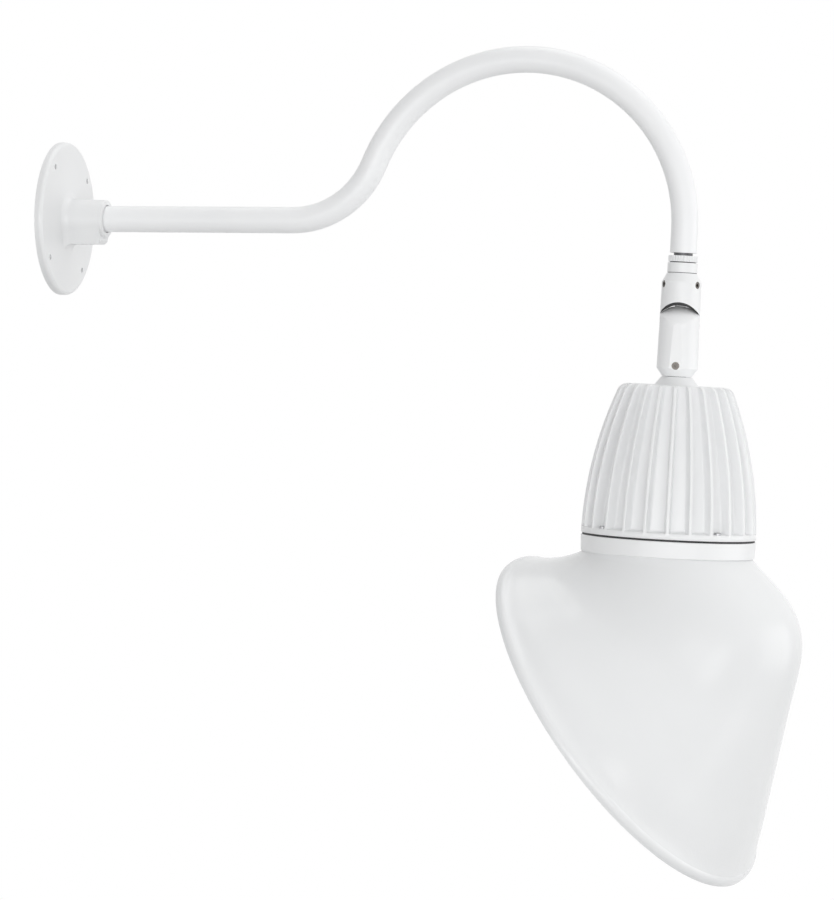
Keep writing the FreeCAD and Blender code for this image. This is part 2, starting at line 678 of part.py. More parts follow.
def holes_at(spots, radius, low, high):
    return [rod(radius, Vector(x, y, low), Z_AXIS, high - low) for x, y in spots]


BOARD_SCREW_SPOTS = ((BOARD_SCREW_X, 0.0), (-BOARD_SCREW_X, 0.0))
LEAD_SPOTS = ((LEAD_X, -LEAD_Y), (LEAD_X, LEAD_Y))


def led_carrier():
    """The aluminium disc that closes the chamber and carries the board and the driver."""
    low, high = CARRIER_Z
    holes = holes_at(carrier_screw_spots(), 2.0, low - 1, high + 1)
    holes += holes_at(LEAD_SPOTS, LEAD_HOLE_R, low - 1, high + 1)
    holes += holes_at(BOARD_SCREW_SPOTS, 1.0, low - 1, high + 1)
    return tube(CARRIER_R, 0, low, high).cut(holes)


def head_electrics():
    low = CARRIER_Z[0]
    pad_low = low - PAD_T
    board_low = pad_low - BOARD_T
    save("led_carrier", led_carrier(), HEAD_FRAME)
    screw = pan_screw(3.4, 2.2, 1.7, 12.0)
    save("carrier_screws", screws_at(carrier_screw_spots(), screw, low), HEAD_FRAME)
    holes = holes_at(BOARD_SCREW_SPOTS, BOARD_SCREW_HOLE_R, 0, low)
    holes += holes_at(LEAD_SPOTS, LEAD_HOLE_R, 0, low)
    save("thermal_pad", tube(BOARD_R, 0, pad_low, low).cut(holes), HEAD_FRAME)
    save("led_board", tube(BOARD_R, 0, board_low, pad_low).cut(holes), HEAD_FRAME)
    chip = box((-EMITTER_HALF, -EMITTER_HALF, board_low - EMITTER_T),
               (EMITTER_HALF, EMITTER_HALF, board_low))
    save("led_emitters", group([moved(chip, x, y, 0) for x, y in led_spots()]), HEAD_FRAME)
    small = pan_screw(2.2, 1.4, 0.98, 5.2)
    save("board_screws", screws_at(BOARD_SCREW_SPOTS, small, board_low), HEAD_FRAME)
    lead_low = board_low + 0.2
    leads = holes_at(LEAD_SPOTS, LEAD_R, lead_low, lead_low + LEAD_LENGTH)
    save("led_leads", group(leads), HEAD_FRAME)


def reflector():
    """A shallow bowl from round the emitters out to the lens."""
    return lathe([
        (37.0, 7.4), (38.4, 7.4), (66.2, -2.6), (70.0, -2.6), (70.0, -1.1),
        (71.0, -1.1), (71.0, -3.6), (65.6, -3.6),
    ])


def driver_bracket(low):
    """A bent sheet channel with room for the leads."""
    base = box((-BRACKET_HALF_X, -BRACKET_HALF_Y, low),
               (BRACKET_HALF_X, BRACKET_HALF_Y, low + BRACKET_T))
    wall_x = BRACKET_HALF_X - BRACKET_T
    wall = box((wall_x, -BRACKET_HALF_Y, low), (BRACKET_HALF_X, BRACKET_HALF_Y, low + BRACKET_HIGH))
    lead_slot = box((24, -6, low - 1), (31, 6, low + 4))
    wall_slot = box((30, -6, low - 1), (36, 6, low + 12))
    bracket = base.fuse([wall, turned(wall, 180)]).cut([lead_slot, wall_slot])
    return bracket.removeSplitter()


def driver_pieces():
    """The sealed driver, held in its bracket on the carrier's back."""
    low = CARRIER_Z[1] + 0.1
    save("driver_bracket", driver_bracket(low), HEAD_FRAME)
    case = box((-DRIVER_HALF_X, -DRIVER_HALF_Y, low + DRIVER_LOW),
               (DRIVER_HALF_X, DRIVER_HALF_Y, low + DRIVER_HIGH))
    uprights = [edge for edge in case.Edges if edge.BoundBox.ZLength > 40]
    save("driver", case.makeFillet(2.0, uprights), HEAD_FRAME)


def head_wires():
    solids = []
    for index in range(3):
        y = (index - 1) * WIRE_SPACING
        low = CARRIER_Z[1] + DRIVER_HIGH + 0.2
        solids.append(rod(WIRE_R, Vector(0, y, low), Z_AXIS, STEM_TOP + 6 - low))
    return group(solids)


def head_pieces():
    save("stem_nipple", tube(NIPPLE_R, NIPPLE_BORE_R, SINK_TOP - 20, STEM_TOP), HEAD_FRAME)
    save("heat_sink", heat_sink(), HEAD_FRAME)
    head_electrics()
    driver_pieces()
    save("head_wires", head_wires(), HEAD_FRAME)
    save("reflector", reflector(), HEAD_FRAME)


# ---- lens ring and lens -------------------------------------------------------------------
def shade_screw_spots():
    for k in range(4):
        angle = math.radians(SHADE_SCREW_START + 90 * k)
        yield SHADE_SCREW_CIRCLE_R * math.cos(angle), SHADE_SCREW_CIRCLE_R * math.sin(angle)


def lens_ring():
    """The band under the seam: it clamps the lens from above and the shade from below."""
    lens_room_r = LENS_R + 0.3
    shade_room_r = NECK_SHADE_R + 0.2
    shade_seat = RING_BOTTOM + SHEET_T
    ring = lathe([
        (RING_LOW_R - RING_BEVEL, RING_BOTTOM), (RING_LOW_R, RING_BOTTOM + RING_BEVEL),
        (RING_R, RING_TOP - RING_BEVEL), (RING_R - RING_BEVEL, RING_TOP),
        (lens_room_r, RING_TOP), (lens_room_r, LENS_SEAT), (RING_BORE_R, LENS_SEAT),
        (RING_BORE_R, shade_seat), (shade_room_r, shade_seat), (shade_room_r, RING_BOTTOM),
    ])
    cuts = holes_at(ring_screw_spots(), 1.95, -13, 1)
    cuts += holes_at(shade_screw_spots(), 1.5, -18, -11.4)
    return ring.cut(cuts)


def lens_pieces():
    save("lens_ring", lens_ring(), HEAD_FRAME)
    gasket = tube(RING_R - 1.4, LENS_R - 3.0, RING_TOP, SINK_LIP_BOTTOM)
    gasket = gasket.cut(holes_at(ring_screw_spots(), RING_SCREW_HOLE_R, -3, 3))
    save("sink_gasket", gasket, HEAD_FRAME)
    save("lens_gasket", tube(LENS_R, RING_BORE_R, LENS_SEAT, LENS_Z[0]), HEAD_FRAME)
    save("lens", tube(LENS_R, 0, *LENS_Z), HEAD_FRAME)
    clip = tube(LENS_R + 0.2, LENS_R - 2.6, LENS_Z[1] + 0.05, LENS_Z[1] + 1.4)
    clip_gap = box((-6, -90, -10), (6, -60, 0))
    save("lens_clip", clip.cut(clip_gap), HEAD_FRAME)
    screw = pan_screw(3.4, 2.6, 1.9, 19.4)
    screws = screws_at(ring_screw_spots(), screw, SINK_LIP_TOP, upside_down=False)
    save("ring_screws", screws, HEAD_FRAME)


# ---- shade --------------------------------------------------------------------------------
def heading(degrees):
    """A unit step in the shade's plane of symmetry, measured from +X towards +Z."""
    return Vector(math.cos(math.radians(degrees)), 0, math.sin(math.radians(degrees)))


RIM_MIDDLE = Vector(RIM_CENTRE[0], 0, RIM_CENTRE[1])
RIM_NORMAL = heading(90 - RIM_TILT)
RIM_DOWN = heading(-RIM_TILT)


def blended_side(start, start_heading, pulls, cone_point, cone_heading, bend):
    """One side's line: a curve from the neck that runs into the cone, then straight down it."""
    curve = Part.BezierCurve()
    curve.setPoles([
        start, start + start_heading * pulls[0],
        cone_point + cone_heading * pulls[1], cone_point,
    ])
    return curve.toShape(), Part.LineSegment(cone_point, bend).toShape()


def shade_sides():
    """The shade's two side lines in its plane of symmetry, from the neck to the bend."""
    bend_middle = RIM_MIDDLE + RIM_NORMAL * SKIRT
    bend_r = RIM_R - SKIRT_STEP
    low_bend = bend_middle + RIM_DOWN * bend_r
    high_bend = bend_middle - RIM_DOWN * bend_r
    low_heading = heading(90 - RIM_TILT + CONE_HALF_ANGLE)
    high_heading = heading(90 - RIM_TILT - CONE_HALF_ANGLE)
    low_point = low_bend + low_heading * ((SHOULDER_END_Z - low_bend.z) / low_heading.z)
    high_point = high_bend + high_heading * ((UPPER_BLEND_X - high_bend.x) / high_heading.x)
    low_side = blended_side(
        Vector(NECK_SHADE_R, 0, RING_BOTTOM), heading(-SHOULDER_START_ANGLE),
        SHOULDER_PULLS, low_point, low_heading, low_bend)
    high_side = blended_side(
        Vector(-NECK_SHADE_R, 0, RING_BOTTOM), heading(180 + UPPER_START_ANGLE),
        UPPER_PULLS, high_point, high_heading, high_bend)
    return low_side, high_side


def cone_radius(point):
    """A point's distance from the cone's axis."""
    return (point - RIM_MIDDLE).cross(RIM_NORMAL).Length


def round_section(low, high, half_width, shrink):
    """An oval that stands across the plane of symmetry on the line from high to low."""
    reach = (low - high).Length / 2
    oval = Part.Ellipse(ORIGIN, reach - shrink, min(half_width, reach) - shrink).toShape()
    tilt = math.degrees(math.atan2(high.z - low.z, low.x - high.x))
    oval.Placement = Placement((low + high) / 2, Rotation(Y_AXIS, tilt))
    return Part.Wire(oval)


def shade_sections(shrink):
    """Ovals from the round neck, tilting step by step until they are the cone's own."""
    low_side, high_side = shade_sides()
    lows = Part.Wire(low_side).discretize(Number=SECTION_COUNT)
    highs = Part.Wire(high_side).discretize(Number=SECTION_COUNT)
    widths = [math.sqrt(cone_radius(low) * cone_radius(high)) for low, high in zip(lows, highs)]
    for index in range(SHOULDER_SECTIONS):
        share = (index / SHOULDER_SECTIONS) ** SHOULDER_FLARE
        widths[index] = NECK_SHADE_R + (widths[SHOULDER_SECTIONS] - NECK_SHADE_R) * share
    return [round_section(*ends, shrink) for ends in zip(lows, highs, widths)]


def shade_hollow(shrink):
    """The room inside the sheet, carried a little past both of its ends."""
    sections = shade_sections(shrink)
    past = 8.0
    above = sections[0].copy()
    above.translate(Z_AXIS * past)
    grown = 1 + past * math.tan(math.radians(CONE_HALF_ANGLE)) / RIM_R
    below = sections[-1].copy()
    below.scale(grown, RIM_MIDDLE + RIM_NORMAL * SKIRT)
    below.translate(RIM_NORMAL * -past)
    return Part.makeLoft([above] + sections + [below], True, False)


def skirt(inner_shrink):
    """The rim's rolled edge: a short straight turn-down with a rounded crown above it."""
    inner_r = RIM_R - SHEET_T
    bend_outer = Vector(RIM_R - SKIRT_STEP, 0, SKIRT)
    bend_inner = Vector(RIM_R - SKIRT_STEP - inner_shrink, 0, SKIRT)
    crown = Vector(RIM_R - SKIRT_CROWN[0], 0, SKIRT_CROWN[1])
    outer_low = Vector(RIM_R, 0, 0)
    outer_high = Vector(RIM_R, 0, SKIRT_STRAIGHT)
    inner_high = Vector(inner_r, 0, SKIRT_STRAIGHT)
    inner_low = Vector(inner_r, 0, 0)
    corners = [bend_outer, bend_inner, inner_high, inner_low, outer_low, outer_high]
    edges = [Part.LineSegment(a, b).toShape() for a, b in zip(corners, corners[1:])]
    edges.append(Part.Arc(outer_high, crown, bend_outer).toShape())
    band = Part.Face(Part.Wire(edges)).revolve(ORIGIN, Z_AXIS, 360)
    band.Placement = Placement(RIM_MIDDLE, Rotation(Y_AXIS, RIM_TILT))
    return band


def shade():
    """The angled shade: a spun cone whose shoulder is drawn up into the round neck."""
    inner_shrink = SHEET_T / math.cos(math.radians(CONE_HALF_ANGLE))
    wall = Part.makeLoft(shade_sections(0.0), True, False).cut(shade_hollow(inner_shrink))
    flange = tube(NECK_SHADE_R, RING_BORE_R, RING_BOTTOM, RING_BOTTOM + SHEET_T - 0.05)
    holes = holes_at(shade_screw_spots(), 1.7, -20, -14)
    return wall.fuse([skirt(inner_shrink), flange]).cut(holes)


def shade_pieces():
    save("shade", shade(), HEAD_FRAME)
    screw = pan_screw(2.8, 1.8, 1.45, 5.6)
    save("shade_screws", screws_at(shade_screw_spots(), screw, RING_BOTTOM), HEAD_FRAME)


wall_pieces()
arm_pieces()
swivel_pieces()
barrel_pieces()
head_pieces()
lens_pieces()
shade_pieces()

print("arm end", ARM_END, "heading", ARM_END_HEADING)
print("swivel axis", SWIVEL_FRAME.Rotation.multVec(Z_AXIS))
print("knuckle axis", SWIVEL_FRAME.Rotation.multVec(X_AXIS))
print("ball", BALL_FRAME.Base, "seam", BARREL_FRAME.Base)
print("head axis", HEAD_FRAME.Rotation.multVec(Z_AXIS))
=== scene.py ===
"""Looks for the gooseneck wall sconce: finishes, the cast heat sink, the lights and the camera.

Metres, in the same frame as the model: the origin is the centre of the wall plate's back face,
+X points out of the wall and +Z points up.  The heat sink's skin is drawn in millimetres in the
head's frame, which is worked out from the joints.
"""
import json
import math

import bpy
from mathutils import Matrix, Vector

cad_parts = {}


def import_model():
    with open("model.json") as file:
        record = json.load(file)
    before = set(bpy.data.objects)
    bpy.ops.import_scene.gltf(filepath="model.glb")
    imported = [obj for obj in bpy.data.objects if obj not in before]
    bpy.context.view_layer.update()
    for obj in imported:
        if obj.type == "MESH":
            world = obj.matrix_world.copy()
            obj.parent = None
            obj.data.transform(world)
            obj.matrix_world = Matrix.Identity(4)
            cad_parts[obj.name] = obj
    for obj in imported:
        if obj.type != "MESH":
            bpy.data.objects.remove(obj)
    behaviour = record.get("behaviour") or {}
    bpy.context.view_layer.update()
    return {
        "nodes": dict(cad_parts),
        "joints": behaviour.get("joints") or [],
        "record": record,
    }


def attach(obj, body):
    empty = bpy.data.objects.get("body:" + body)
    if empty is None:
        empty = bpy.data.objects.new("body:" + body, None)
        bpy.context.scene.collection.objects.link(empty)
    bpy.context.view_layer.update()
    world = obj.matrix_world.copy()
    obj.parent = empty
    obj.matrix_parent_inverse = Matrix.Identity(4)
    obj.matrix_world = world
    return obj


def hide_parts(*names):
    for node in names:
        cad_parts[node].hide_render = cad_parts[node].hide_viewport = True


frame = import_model()

MM = 0.001
NODES = frame["nodes"]
JOINTS = {joint["name"]: joint for joint in frame["joints"]}

# ---- heat sink, in millimetres and degrees -------------------------------------------------
HEAD_TURN = -16.4
SINK_R = 86.7
SINK_ARC_R = 390.0
SINK_ARC_Z = -4.0
SINK_TOP = 150.0
SINK_LIP_BOTTOM = 1.0
SINK_LIP_TOP = 7.0
SINK_BORE_R = 66.4
SINK_BORE_TOP = 14.0
LIP_EDGE = 0.6
LIP_DRAFT = 0.05
LIP_SEAM = 0.1
FIN_COUNT = 24
FIN_START = 6.0
FIN_HALF_T = 1.6
FIN_EDGE_ROUND = 0.7
FIN_DRAFT = 0.45
FIN_FILLET = (0.6, 1.8)
FIN_FOOT_FLARE = 2.2
FIN_FOOT_ROUND = 2.4
FIN_TOP_ROUND = 6.0
FIN_STEPS = 26
FOOT_SHARES = (0.35, 0.7, 0.9, 1.0)
TOP_SHARES = (0.3, 0.55, 0.75, 0.9, 1.0)
GROOVE_DEPTHS = (11.0, 12.0, 8.5)
GROOVE_DISH = 0.25
TOP_COVER = 3.0
NECK_R = 22.0
NECK_END_R = 15.2
NECK_TOP = 158.6
NECK_BORE_R = 9.0
NECK_APRON = 20.0
NECK_FILLET = 0.8
NECK_DRAFT = 0.6
NECK_BEVEL = 0.4
NECK_BEVEL_DROP = 0.5

# ---- textures: scales are in cycles per metre, depths in metres ----------------------------
NOISE_LOW = 0.3
NOISE_HIGH = 0.7
CLOUD_SCALE = 14.0
PATCH_SCALE = 55.0
GRAIN_RATIO = 4.5
FINE_RATIO = 3.0
BRUSH_DEPTH = 2e-5
DUST_SCALE = 120.0
PAINT_IOR = 1.5
GLASS_IOR = 1.5
STEEL_STRETCH = (900.0, 900.0, 60.0)
SHEET_STRETCH = (40.0, 1200.0, 1200.0)
# The whites are set part by part to match how bright each part shows under these lights: the
# arm's lighter white is partly painted light, and the plate's and the shade's darker whites are
# partly painted shade.
CASTING_WHITE = ((0.845, 0.852, 0.858), (0.862, 0.868, 0.872))
ARM_WHITE = ((0.885, 0.892, 0.9), (0.9, 0.906, 0.912))
PLATE_WHITE = ((0.79, 0.797, 0.803), (0.806, 0.812, 0.816))
SHADE_WHITE = ((0.805, 0.814, 0.82), (0.82, 0.828, 0.834))

# Slot: dark and light colour, gloss range, peel scale, peel depth, grain depth
PAINTS = {
    "powder_coat": (*CASTING_WHITE, (0.285, 0.335), 450.0, 3e-5, 8e-6),
    "arm_paint": (*ARM_WHITE, (0.285, 0.325), 400.0, 2.5e-5, 6e-6),
    "plate_enamel": (*PLATE_WHITE, (0.285, 0.32), 420.0, 3e-5, 8e-6),
    "shade_enamel": (*SHADE_WHITE, (0.18, 0.24), 420.0, 4e-5, 1e-5),
    "ring_finish": (*CASTING_WHITE, (0.34, 0.44), 450.0, 4e-5, 1e-5),
}

# Slot: dark colour, light colour, gloss range, metallic, scale, depth
PLAIN = {
    "foam": ((0.05, 0.05, 0.055), (0.09, 0.09, 0.095), (0.8, 0.95), 0.0, 1500.0, 2e-4),
    "black_rubber": ((0.012, 0.012, 0.013), (0.022, 0.022, 0.024), (0.55, 0.7), 0.0, 800.0, 4e-5),
    "nylon": ((0.7, 0.69, 0.64), (0.78, 0.77, 0.73), (0.4, 0.5), 0.0, 500.0, 3e-5),
    "green_screw": ((0.03, 0.25, 0.09), (0.06, 0.36, 0.14), (0.25, 0.4), 0.6, 600.0, 2e-5),
    "dark_steel": ((0.1, 0.092, 0.085), (0.19, 0.178, 0.165), (0.35, 0.5), 0.9, 900.0, 3e-5),
    "black_wire": ((0.015, 0.015, 0.016), (0.025, 0.025, 0.026), (0.4, 0.5), 0.0, 700.0, 1e-5),
    "white_wire": ((0.76, 0.76, 0.73), (0.82, 0.82, 0.8), (0.4, 0.5), 0.0, 700.0, 1e-5),
    "green_wire": ((0.02, 0.26, 0.06), (0.035, 0.33, 0.09), (0.4, 0.5), 0.0, 700.0, 1e-5),
    "red_wire": ((0.48, 0.02, 0.02), (0.6, 0.035, 0.03), (0.4, 0.5), 0.0, 700.0, 1e-5),
    "driver_case": ((0.07, 0.07, 0.075), (0.11, 0.11, 0.115), (0.5, 0.62), 0.0, 900.0, 5e-5),
    "grey_pad": ((0.45, 0.45, 0.47), (0.55, 0.55, 0.57), (0.7, 0.8), 0.0, 500.0, 2e-5),
    "board_white": ((0.8, 0.8, 0.78), (0.88, 0.88, 0.86), (0.25, 0.35), 0.0, 400.0, 1e-5),
    "phosphor": ((0.86, 0.68, 0.12), (0.93, 0.8, 0.25), (0.25, 0.35), 0.0, 900.0, 1e-5),
    "reflector_film": ((0.86, 0.86, 0.86), (0.92, 0.92, 0.92), (0.3, 0.4), 0.0, 300.0, 1e-5),
}

# Slot: dark colour, light colour, gloss range, stretch of the lines along X, Y and Z
BRUSHED = {
    "screw_steel": ((0.32, 0.32, 0.33), (0.5, 0.5, 0.51), (0.28, 0.42), STEEL_STRETCH),
    "thread_steel": ((0.09, 0.09, 0.095), (0.16, 0.16, 0.165), (0.35, 0.5), STEEL_STRETCH),
    "bare_aluminium": ((0.64, 0.65, 0.66), (0.76, 0.77, 0.78), (0.3, 0.42), SHEET_STRETCH),
}

# ---- camera: the photograph's angle --------------------------------------------------------
CAMERA_PLACE = Vector((1.74484, -4.62398, -0.21897))
CAMERA_HEADING = 16.386
CAMERA_PITCH = -0.130
CAMERA_ROLL = 1.139
CAMERA_LENS = 192.02
CAMERA_SENSOR = 36.0
CAMERA_FAR = 100.0

# ---- stage and light -----------------------------------------------------------------------
FLOOR_HALF = 3.4
FLOOR_HEIGHT = -1.45
FLOOR_GREY = ((0.5, 0.5, 0.5), (0.52, 0.52, 0.52))
FLOOR_GLOSS = 0.9
FLOOR_GLOW = 0.6
FIBRE_SCALE = 260.0
WHITE = (1.0, 1.0, 1.0, 1.0)
SKY_LEVEL = 0.57
SKY_TILT = (0.22, 0.15, 0.15)
LIT_MIDDLE = (0.45, 0.0, -0.25)
# Name, place, width, height, watts
SOFTBOXES = (
    ("front_box", (2.6, -8.0, 0.2), 5.0, 4.0, 78.0),
    ("right_box", (7.1, 1.9, -0.2), 6.0, 4.4, 90.0),
    ("top_box", (0.8, 2.2, 6.4), 6.0, 5.4, 108.0),
    ("low_box", (1.6, -4.9, -0.95), 8.0, 2.4, 106.0),
)


# ---- frames --------------------------------------------------------------------------------
def joint_frame(name, turn):
    """A frame on a joint: Z is its axis, and X is the knuckle's axis turned about Z."""
    joint = JOINTS[name]
    up = Vector(joint["axis"]).normalized()
    across = Vector(JOINTS["knuckle_tilt"]["axis"])
    across = (across - up * across.dot(up)).normalized()
    rotation = Matrix((across, up.cross(across), up)).transposed().to_4x4()
    place = Matrix.Translation(Vector(joint["pos_m"]))
    return place @ rotation @ Matrix.Rotation(math.radians(turn), 4, "Z")


# ---- node helpers --------------------------------------------------------------------------
def new_material(name):
    """A material with its shader, and the object-space coordinates for its textures."""
    material = bpy.data.materials.new(name)
    material.use_nodes = True
    tree = material.node_tree
    shader = tree.nodes["Principled BSDF"]
    coordinates = tree.nodes.new("ShaderNodeTexCoord")
    return material, tree, shader, coordinates.outputs["Object"]


def noise(tree, coordinates, scale, detail, roughness=0.5):
    """A noise texture's value."""
    node = tree.nodes.new("ShaderNodeTexNoise")
    node.inputs["Scale"].default_value = scale
    node.inputs["Detail"].default_value = detail
    node.inputs["Roughness"].default_value = roughness
    tree.links.new(coordinates, node.inputs["Vector"])
    return node.outputs["Fac"]


def spread(tree, value, low, high):
    """Map a noise value onto a range of numbers."""
    node = tree.nodes.new("ShaderNodeMapRange")
    node.inputs["From Min"].default_value = NOISE_LOW
    node.inputs["From Max"].default_value = NOISE_HIGH
    node.inputs["To Min"].default_value = low
    node.inputs["To Max"].default_value = high
    tree.links.new(value, node.inputs["Value"])
    return node.outputs["Result"]


def tint(tree, value, dark, light):
    """Map a noise value onto a range of colours."""
    node = tree.nodes.new("ShaderNodeValToRGB")
    node.color_ramp.elements[0].position = NOISE_LOW
    node.color_ramp.elements[0].color = (*dark, 1.0)
    node.color_ramp.elements[1].position = NOISE_HIGH
    node.color_ramp.elements[1].color = (*light, 1.0)
    tree.links.new(value, node.inputs["Fac"])
    return node.outputs["Color"]


def bump(tree, shader, heights):
    """Stack small bumps, each a (height, depth in metres) pair, on the shader's normal."""
    normal = None
    for height, depth in heights:
        node = tree.nodes.new("ShaderNodeBump")
        node.inputs["Distance"].default_value = depth
        tree.links.new(height, node.inputs["Height"])
        if normal:
            tree.links.new(normal, node.inputs["Normal"])
        normal = node.outputs["Normal"]
    tree.links.new(normal, shader.inputs["Normal"])


# ---- finishes ------------------------------------------------------------------------------
def powder_coat(name, dark, light, gloss, peel_scale, peel_depth, grain_depth):
    """Baked powder paint: faint orange peel, a finer grain and a slightly uneven gloss."""
    material, tree, shader, spot = new_material(name)
    cloud = noise(tree, spot, CLOUD_SCALE, 3.0)
    tree.links.new(tint(tree, cloud, dark, light), shader.inputs["Base Color"])
    patch = noise(tree, spot, PATCH_SCALE, 2.0)
    tree.links.new(spread(tree, patch, *gloss), shader.inputs["Roughness"])
    peel = noise(tree, spot, peel_scale, 1.5)
    grain = noise(tree, spot, peel_scale * GRAIN_RATIO, 2.0)
    bump(tree, shader, [(peel, peel_depth), (grain, grain_depth)])
    shader.inputs["IOR"].default_value = PAINT_IOR
    return material


def plain_finish(name, dark, light, gloss, metallic, scale, depth):
    """A finish with a mottled colour, an uneven gloss and one scale of bump."""
    material, tree, shader, spot = new_material(name)
    mottle = noise(tree, spot, scale, 3.0)
    tree.links.new(tint(tree, mottle, dark, light), shader.inputs["Base Color"])
    fine = noise(tree, spot, scale * FINE_RATIO, 2.0)
    tree.links.new(spread(tree, fine, *gloss), shader.inputs["Roughness"])
    bump(tree, shader, [(fine, depth)])
    shader.inputs["Metallic"].default_value = metallic
    return material


def brushed(name, dark, light, gloss, stretch):
    """Machined or drawn metal, with fine lines along one direction."""
    material, tree, shader, spot = new_material(name)
    mapping = tree.nodes.new("ShaderNodeMapping")
    mapping.inputs["Scale"].default_value = stretch
    tree.links.new(spot, mapping.inputs["Vector"])
    lines = noise(tree, mapping.outputs["Vector"], 1.0, 4.0, 0.6)
    tree.links.new(tint(tree, lines, dark, light), shader.inputs["Base Color"])
    tree.links.new(spread(tree, lines, *gloss), shader.inputs["Roughness"])
    bump(tree, shader, [(lines, BRUSH_DEPTH)])
    shader.inputs["Metallic"].default_value = 1.0
    return material


def clear_glass(name):
    """Clear tempered glass with a trace of dust in its gloss."""
    material, tree, shader, spot = new_material(name)
    dust = noise(tree, spot, DUST_SCALE, 4.0)
    tree.links.new(spread(tree, dust, 0.02, 0.07), shader.inputs["Roughness"])
    colour = tint(tree, dust, (0.93, 0.96, 0.95), (0.96, 0.98, 0.975))
    tree.links.new(colour, shader.inputs["Base Color"])
    shader.inputs["Transmission Weight"].default_value = 1.0
    shader.inputs["IOR"].default_value = GLASS_IOR
    return material


def finishes():
    """One material for each of the record's slots."""
    materials = {"lens_glass": clear_glass("lens_glass")}
    for maker, table in ((powder_coat, PAINTS), (plain_finish, PLAIN), (brushed, BRUSHED)):
        for name, values in table.items():
            materials[name] = maker(name, *values)
    return materials


def dress_nodes(materials):
    """Give every node its slot's finish."""
    for part in frame["record"]["subparts"]:
        node = NODES[part["node"]]
        node.data.materials.clear()
        node.data.materials.append(materials[part["material_slot"]])


# ---- mesh helpers --------------------------------------------------------------------------
def skin(name, loops, matrix, material, body):
    """A smooth closed-round skin through loops of points, each in millimetres."""
    count = len(loops[0])
    points = [matrix @ (Vector(point) * MM) for loop in loops for point in loop]
    faces = []
    for row in range(len(loops) - 1):
        for index in range(count):
            after = (index + 1) % count
            faces.append((row * count + index, row * count + after,
                          (row + 1) * count + after, (row + 1) * count + index))
    mesh = bpy.data.meshes.new(name)
    mesh.from_pydata(points, [], faces)
    mesh.polygons.foreach_set("use_smooth", [True] * len(faces))
    mesh.materials.append(material)
    piece = bpy.data.objects.new(name, mesh)
    bpy.context.scene.collection.objects.link(piece)
    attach(piece, body)
    return piece


# ---- heat sink -----------------------------------------------------------------------------
def arc_radius(z):
    """The long arc that the fins' outer edges follow."""
    rise = z - SINK_ARC_Z
    return SINK_R - SINK_ARC_R + math.sqrt(SINK_ARC_R ** 2 - rise ** 2)


def fin_radius(z):
    """The fins' outer radius: the long arc, rounded over at the top."""
    over = max(0.0, z - (SINK_TOP - FIN_TOP_ROUND)) / FIN_TOP_ROUND
    return arc_radius(z) - FIN_TOP_ROUND * (1 - math.sqrt(max(0.0, 1 - over * over)))


def groove_radius(z):
    """The grooves' floor: a parabola through its depths at the foot, middle and top."""
    share = (z - SINK_LIP_TOP) / (SINK_TOP - SINK_LIP_TOP)
    low, mid, top = GROOVE_DEPTHS
    slope = 4 * mid - 3 * low - top
    bend = 2 * low + 2 * top - 4 * mid
    return arc_radius(z) - (low + share * slope + share * share * bend)


def fin_profile(foot_flare):
    """One fin's half outline: (offset from its middle, share of the way from floor to edge)."""
    flank = FIN_HALF_T + FIN_DRAFT
    fillet_near, fillet_far = FIN_FILLET
    return [
        (0.0, 1.0),
        (FIN_HALF_T - FIN_EDGE_ROUND, 1.0),
        (FIN_HALF_T - 0.3 * FIN_EDGE_ROUND, 0.98),
        (FIN_HALF_T, 0.93),
        (0.5 * (FIN_HALF_T + flank), 0.55),
        (flank, 0.16),
        (flank + fillet_near + foot_flare, 0.04),
        (flank + fillet_far + foot_flare, 0.0),
    ]


def sink_loop(z, floor_r, edge_r, foot_flare=0.0):
    """The heat sink's outline at one height, fin after fin."""
    half = fin_profile(foot_flare)
    offsets = [(-offset, share) for offset, share in reversed(half[1:])] + half
    loop = []
    for fin in range(FIN_COUNT):
        angle = math.radians(FIN_START + fin * 360.0 / FIN_COUNT)
        for offset, share in offsets:
            radius = floor_r + share * (edge_r - floor_r)
            loop.append((radius * math.cos(angle) - offset * math.sin(angle),
                         radius * math.sin(angle) + offset * math.cos(angle), z))
        middle = angle + math.pi / FIN_COUNT
        dish_r = floor_r - GROOVE_DISH
        loop.append((dish_r * math.cos(middle), dish_r * math.sin(middle), z))
    return loop


def round_loop(z, radius):
    """A true circle with as many points as the finned outline, in the same order."""
    loop = []
    for x, y, height in sink_loop(z, SINK_BORE_R, SINK_BORE_R):
        scale = radius / math.hypot(x, y)
        loop.append((x * scale, y * scale, height))
    return loop


def lip_loops():
    """The bore, the flat underside and the lip's edge, up to the fins' feet."""
    return [
        round_loop(SINK_BORE_TOP, SINK_BORE_R),
        round_loop(SINK_LIP_BOTTOM, SINK_BORE_R),
        round_loop(SINK_LIP_BOTTOM, SINK_R - LIP_EDGE),
        round_loop(SINK_LIP_BOTTOM + LIP_EDGE, SINK_R),
        round_loop(SINK_LIP_TOP - LIP_EDGE, SINK_R - LIP_DRAFT),
        sink_loop(SINK_LIP_TOP - LIP_SEAM, SINK_R - LIP_EDGE, fin_radius(SINK_LIP_TOP)),
    ]


